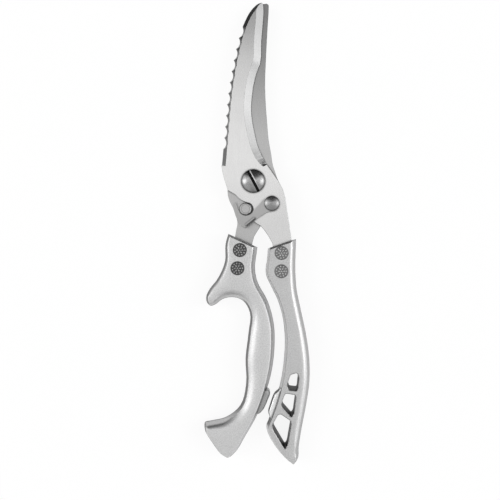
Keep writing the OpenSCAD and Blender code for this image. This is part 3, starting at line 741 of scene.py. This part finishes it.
def parting_edges(obj, level):
    """The outline's edges on the plane where the mould parted, as points and pairs."""
    mesh = obj.data
    on_plane = {v.index for v in mesh.vertices if abs(v.co.z - level) < 2e-6}
    pairs = [tuple(e.vertices) for e in mesh.edges if all(i in on_plane for i in e.vertices)]
    used = sorted({i for pair in pairs for i in pair})
    new = {old: k for k, old in enumerate(used)}
    return [mesh.vertices[i].co.copy() for i in used], [(new[a], new[b]) for a, b in pairs]


def dress(obj, material):
    obj.data.materials.clear()
    obj.data.materials.append(material)


def dress_node(node, material):
    obj = frame["nodes"][node]
    if not obj.material_slots:
        obj.data.materials.append(material)
    for each in obj.material_slots:
        each.material = material


def stand_for(obj, node, body):
    """Puts an object in the place of a CAD node."""
    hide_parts(node)
    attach(obj, body)


# ---------------------------------------------------------------- settings


def reflectance(name, description, default):
    description = "Reflectance of the " + description
    return FloatProperty(name=name, description=description, default=default, min=0, max=1)


def measure(name, description, default, low, high):
    return FloatProperty(
        name=name, description=description, default=default, min=low, max=high, unit="LENGTH"
    )


class ShearsFinish(bpy.types.PropertyGroup):
    front_grey: reflectance("Front blade", "front blade", 0.72)
    rear_grey: reflectance("Rear blade", "rear blade", 0.475)
    bevel_grey: reflectance("Cutting bevel", "cutting bevel", 0.58)
    back_grey: reflectance("Toothed back", "ground back with its teeth", 0.16)
    hook_grey: reflectance("Hook grip", "left grip", 0.65)
    window_grey: reflectance("Window grip", "right grip", 0.58)
    grain_depth: measure("Casting grain", "Depth of the grips' pebbled skin", 1.8e-5, 0, 1e-4)
    broken_edge: measure(
        "Broken edges", "Width of the chamfer along the blades' outlines", 1.5e-4, 0, 3e-4
    )
    second_bevel: measure(
        "Second bevel", "Width of the honed bevel along the cutting edge", 2.9e-4, 0, 2.9e-4
    )
    # The facet of this width is painted darker in the blades' material: a painted shade line
    border: measure(
        "Bevel border", "Width of the worn line above the cutting bevel", 1.6e-4, 5e-5, 2e-4
    )
    seam: measure(
        "Parting line", "Half width of the flash line round the grips", 1.2e-4, 0, 3e-4
    )


class ShearsRosette(bpy.types.PropertyGroup):
    petals: IntProperty(
        name="Petals", description="Petals on each rivet head", default=6, min=3, max=12
    )
    dots: IntProperty(name="Dots", description="Dots in the outer ring", default=11, min=6, max=24)
    relief: measure("Relief", "Rise of the pattern above the rivet head", 1.6e-4, 0, 4e-4)


class ShearsStudio(bpy.types.PropertyGroup):
    height: measure("Camera height", "Camera above the table", 0.45, 0.2, 2)
    floor_colour: FloatVectorProperty(
        name="Floor", description="Colour of the table", default=(0.14, 0.14, 0.14), subtype="COLOR"
    )
    softbox: FloatProperty(
        name="Softboxes",
        description="Brightness of the two softboxes over the sky",
        default=2.9,
        min=0,
        max=10,
    )


def settings():
    scene = bpy.context.scene
    return scene.shears_finish, scene.shears_rosette, scene.shears_studio


# ---------------------------------------------------------------- studio


PIXELS = 500
PIXELS_PER_METRE = 1804.0
VIEW_MIDDLE = Vector((-0.003923, -0.00936))
# The camera stands this far to the right of the view's middle, and its lens is shifted back
VIEW_ASIDE = 0.0166
# The height above the table at which the scale of the picture holds
SCALE_HEIGHT = 0.0065
SENSOR_WIDTH = 36.0
TABLE_HALF = 3.0
TABLE_GLOW = 0.88


def make_camera(height):
    data = bpy.data.cameras.new("camera")
    data.sensor_width = SENSOR_WIDTH
    data.lens = SENSOR_WIDTH * (height - SCALE_HEIGHT) / (PIXELS / PIXELS_PER_METRE)
    data.clip_start = 0.01
    camera = bpy.data.objects.new("camera", data)
    camera.location = (VIEW_MIDDLE.x + VIEW_ASIDE, VIEW_MIDDLE.y, height)
    data.shift_x = -VIEW_ASIDE * PIXELS_PER_METRE / PIXELS
    bpy.context.scene.collection.objects.link(camera)
    bpy.context.scene.camera = camera


def seen_or_mirrored(tree):
    """1 for rays from the camera and for those that metal or glass sends on."""
    path = put(tree, "ShaderNodeLightPath")
    seen = maths(tree, "MAXIMUM", path.outputs["Is Camera Ray"], path.outputs["Is Glossy Ray"])
    return maths(tree, "MAXIMUM", seen, path.outputs["Is Transmission Ray"])


def make_floor(colour):
    """A large white table that glows a little, so that the shears' shadow on it stays faint."""
    tree = new_tree("table_white")
    dust = spread(tree, grain(tree, 40, 2.0), 0.99, 1.0)
    lit = put(tree, "ShaderNodeBsdfDiffuse", {"Color": shaded(tree, (*colour, 1.0), dust)})
    lift = times(tree, seen_or_mirrored(tree), TABLE_GLOW)
    glow = put(tree, "ShaderNodeEmission", {"Strength": lift})
    both = put(tree, "ShaderNodeAddShader", {0: lit.outputs[0], 1: glow.outputs[0]})
    put(tree, "ShaderNodeOutputMaterial", {"Surface": both.outputs[0]})
    mesh = bpy.data.meshes.new("table")
    signs = ((-1, -1), (1, -1), (1, 1), (-1, 1))
    mesh.from_pydata([(x * TABLE_HALF, y * TABLE_HALF, 0) for x, y in signs], [], [(0, 1, 2, 3)])
    table = bpy.data.objects.new("table", mesh)
    bpy.context.scene.collection.objects.link(table)
    dress(table, bpy.data.materials["table_white"])


def make_sky(softbox):
    """A pale studio: bright overhead and to the sides, dark beyond the blades' tips, and a
    soft round softbox high up on the left and on the right. The camera sees plain white."""
    world = bpy.data.worlds.new("studio")
    bpy.context.scene.world = world
    world.use_nodes = True
    tree = world.node_tree
    tree.nodes.clear()
    way = put(tree, "ShaderNodeTexCoord").outputs["Generated"]
    parts = put(tree, "ShaderNodeSeparateXYZ", {0: way}).outputs
    forward = parts["Y"]
    across = times(tree, maths(tree, "ABSOLUTE", parts["X"]), 0.45)
    ahead = maths(tree, "SUBTRACT", forward, across)
    behind = maths(tree, "SUBTRACT", times(tree, forward, -1.0), across)
    level = times(
        tree,
        ramp(tree, forward, -0.3, 0.02, 0.82, 0.92),
        ramp(tree, forward, 0.045, 0.13, 1.0, 1.46),
        ramp(tree, ahead, 0.165, 0.27, 1.0, 0.05),
        ramp(tree, behind, 0.25, 0.8, 1.0, 0.55),
    )
    outer, inner = math.cos(math.radians(15)), math.cos(math.radians(3))
    for side in (-1, 1):
        aim = Vector((side * 0.74, 0.06, 0.67)).normalized()
        glow = ramp(tree, dot(tree, way, aim), outer, inner)
        level = maths(tree, "ADD", level, times(tree, glow, softbox))
    seen = put(tree, "ShaderNodeLightPath").outputs["Is Camera Ray"]
    strength = mixed_value(tree, seen, level, 1.0)
    back = put(tree, "ShaderNodeBackground", {"Color": (1, 1, 1, 1), "Strength": strength})
    put(tree, "ShaderNodeOutputWorld", {"Surface": back.outputs[0]})


# ---------------------------------------------------------------- operators


class SHEARS_OT_blades(bpy.types.Operator):
    """Give both blades their ground faces, broken edges, bevels and toothed back"""

    bl_idname = "shears.blades"
    bl_label = "Blades"

    def execute(self, context):
        finish = settings()[0]
        front = ground_steel(
            "ground_steel_front",
            face=finish.front_grey,
            bevel=finish.bevel_grey,
            back=finish.back_grey,
            roughness=0.26,
            marks=front_marks,
        )
        rear = ground_steel(
            "ground_steel_rear",
            face=finish.rear_grey,
            bevel=finish.rear_grey,
            back=finish.back_grey,
            roughness=0.28,
            reach=0.001,
            marks=rear_marks,
        )
        for node, body, slot, steel in (
            ("front_blade", "front_half", "front_steel", front),
            ("rear_blade", "rear_half", "rear_steel", rear),
        ):
            blade = smooth_copy(node, node + "_ground", math.radians(22))
            break_edges(blade, finish.broken_edge)
            hone(blade, finish.second_bevel, finish.border)
            dress(blade, steel)
            stand_for(blade, node, body)
        return {"FINISHED"}


class SHEARS_OT_pivot(bpy.types.Operator):
    """Finish the pivot screw, its washer and nut, and the spring"""

    bl_idname = "shears.pivot"
    bl_label = "Pivot"

    def execute(self, context):
        screw = polished_steel(
            "polished_screw", 0.36, roughness=0.22, slotted=True, head=(SCREW, SCREW_RADIUS)
        )
        dress_node("pivot_screw", screw)
        dress_node("pivot_washer", dark_steel("dark_washer", 0.25, roughness=0.3))
        dress_node("pivot_nut", polished_steel("plated_nut", 0.55, roughness=0.22))
        # The spring is copied smooth and fixed where it stands, on no body
        spring = smooth_copy("return_spring", "return_spring_wound", math.radians(50))
        dress(spring, dark_steel("spring_wire", 0.3, roughness=0.35))
        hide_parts("return_spring")
        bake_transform(spring)
        return {"FINISHED"}


class SHEARS_OT_catch(bpy.types.Operator):
    """Finish the thumb catch, its rivet and washer, and the locking stud"""

    bl_idname = "shears.catch"
    bl_label = "Catch"

    def execute(self, context):
        plate = ground_steel(
            "ground_steel_catch",
            face=0.42,
            bevel=0.34,
            back=0.16,
            roughness=0.30,
            painted_shade=0.5,
            marks=catch_marks,
        )
        catch = smooth_copy("catch_plate", "catch_plate_ground", math.radians(22))
        dress(catch, plate)
        stand_for(catch, "catch_plate", "catch")
        rivet = polished_steel(
            "polished_rivet", 0.34, roughness=0.26, head=(CATCH_RIVET, CATCH_RIVET_RADIUS)
        )
        dress_node("catch_rivet", rivet)
        dress_node("catch_washer", dark_steel("dark_catch_washer", 0.25, roughness=0.3))
        stud = ground_steel(
            "turned_stud", face=0.46, bevel=0.9, back=0.9, roughness=0.28, marks=stud_marks
        )
        dress_node("locking_stud", stud)
        return {"FINISHED"}


class SHEARS_OT_grips(bpy.types.Operator):
    """Give both cast grips their tumbled faces, walls with painted light and shade, and the mould's
    parting line
    """

    bl_idname = "shears.grips"
    bl_label = "Grips"

    def execute(self, context):
        finish = settings()[0]
        metals = {
            "hook": cast_metal(
                "hook_metal",
                face=finish.hook_grey,
                left_wall=0.16,
                right_wall=0.60,
                boss=0.40,
                grain_depth=finish.grain_depth,
            ),
            "window": cast_metal(
                "window_metal",
                face=finish.window_grey,
                left_wall=0.78,
                right_wall=0.46,
                boss=0.88,
                grain_depth=finish.grain_depth,
                dark_walls=window_walls,
            ),
        }
        for side, metal in metals.items():
            node, body, slot = side + "_grip", BODY_OF_GRIP[side], side + "_cast"
            grip = smooth_copy(node, node + "_casting", math.radians(28))
            seam = points_object(side + "_parting_line", *parting_edges(grip, GRIP_TOP / 2))
            seam = grown(seam, seam_tree(), {"Half Width": finish.seam, "Metal": metal})
            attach(seam, body)
            dress(grip, metal)
            stand_for(grip, node, body)
        return {"FINISHED"}


class SHEARS_OT_rivets(bpy.types.Operator):
    """Lay a pattern of petals and dots on the four grip rivets"""

    bl_idname = "shears.rivets"
    bl_label = "Rivets"

    def execute(self, context):
        pattern = settings()[1]
        back = ground_steel("rivet_back", face=0.5, bevel=0.5, back=0.5, roughness=0.3)
        for side, ground_grey, raised_grey in (("hook", 0.09, 0.44), ("window", 0.20, 0.62)):
            ground = dark_steel(side + "_rivet_ground", ground_grey, roughness=0.4)
            raised = polished_steel(side + "_rivet_pattern", raised_grey, roughness=0.6)
            tops = []
            for node in RIVETS[side]:
                dress_node(node, ground)
                dress_node(node + "_pin", back)
                middle = centre(node)
                tops.append((middle.x, middle.y, top(node)))
            heads = points_object(side + "_rosettes", tops)
            values = {
                "Petals": pattern.petals,
                "Dots": pattern.dots,
                "Head Radius": HEAD_RADIUS,
                "Head Rise": tops[0][2] - GRIP_TOP,
                "Relief": pattern.relief,
                "Metal": raised,
            }
            heads = grown(heads, rosette_tree(), values)
            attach(heads, BODY_OF_GRIP[side])
        return {"FINISHED"}


class SHEARS_OT_studio(bpy.types.Operator):
    """Make the table, the sky with its two softboxes, and the camera"""

    bl_idname = "shears.studio"
    bl_label = "Studio"

    def execute(self, context):
        studio = settings()[2]
        make_camera(studio.height)
        make_floor(studio.floor_colour)
        make_sky(studio.softbox)
        context.scene.view_settings.view_transform = "Standard"
        return {"FINISHED"}


CLASSES = (
    ShearsFinish,
    ShearsRosette,
    ShearsStudio,
    SHEARS_OT_blades,
    SHEARS_OT_pivot,
    SHEARS_OT_catch,
    SHEARS_OT_grips,
    SHEARS_OT_rivets,
    SHEARS_OT_studio,
)


class SHEARS_PT_panel(bpy.types.Panel):
    """Everything that dresses the shears"""

    bl_idname = "SHEARS_PT_panel"
    bl_label = "Kitchen shears"
    bl_space_type = "VIEW_3D"
    bl_region_type = "UI"
    bl_category = "Shears"

    def draw(self, context):
        for group in settings():
            for key in group.__annotations__:
                self.layout.prop(group, key)
        for each in CLASSES:
            if issubclass(each, bpy.types.Operator):
                self.layout.operator(each.bl_idname)


def register():
    for each in (*CLASSES, SHEARS_PT_panel):
        bpy.utils.register_class(each)
    bpy.types.Scene.shears_finish = PointerProperty(type=ShearsFinish)
    bpy.types.Scene.shears_rosette = PointerProperty(type=ShearsRosette)
    bpy.types.Scene.shears_studio = PointerProperty(type=ShearsStudio)


def unregister():
    for key in ("shears_finish", "shears_rosette", "shears_studio"):
        delattr(bpy.types.Scene, key)
    for each in reversed((*CLASSES, SHEARS_PT_panel)):
        bpy.utils.unregister_class(each)


def main():
    register()
    bpy.ops.shears.studio()
    bpy.ops.shears.blades()
    bpy.ops.shears.pivot()
    bpy.ops.shears.catch()
    bpy.ops.shears.grips()
    bpy.ops.shears.rivets()


if __name__ == "__main__":
    main()
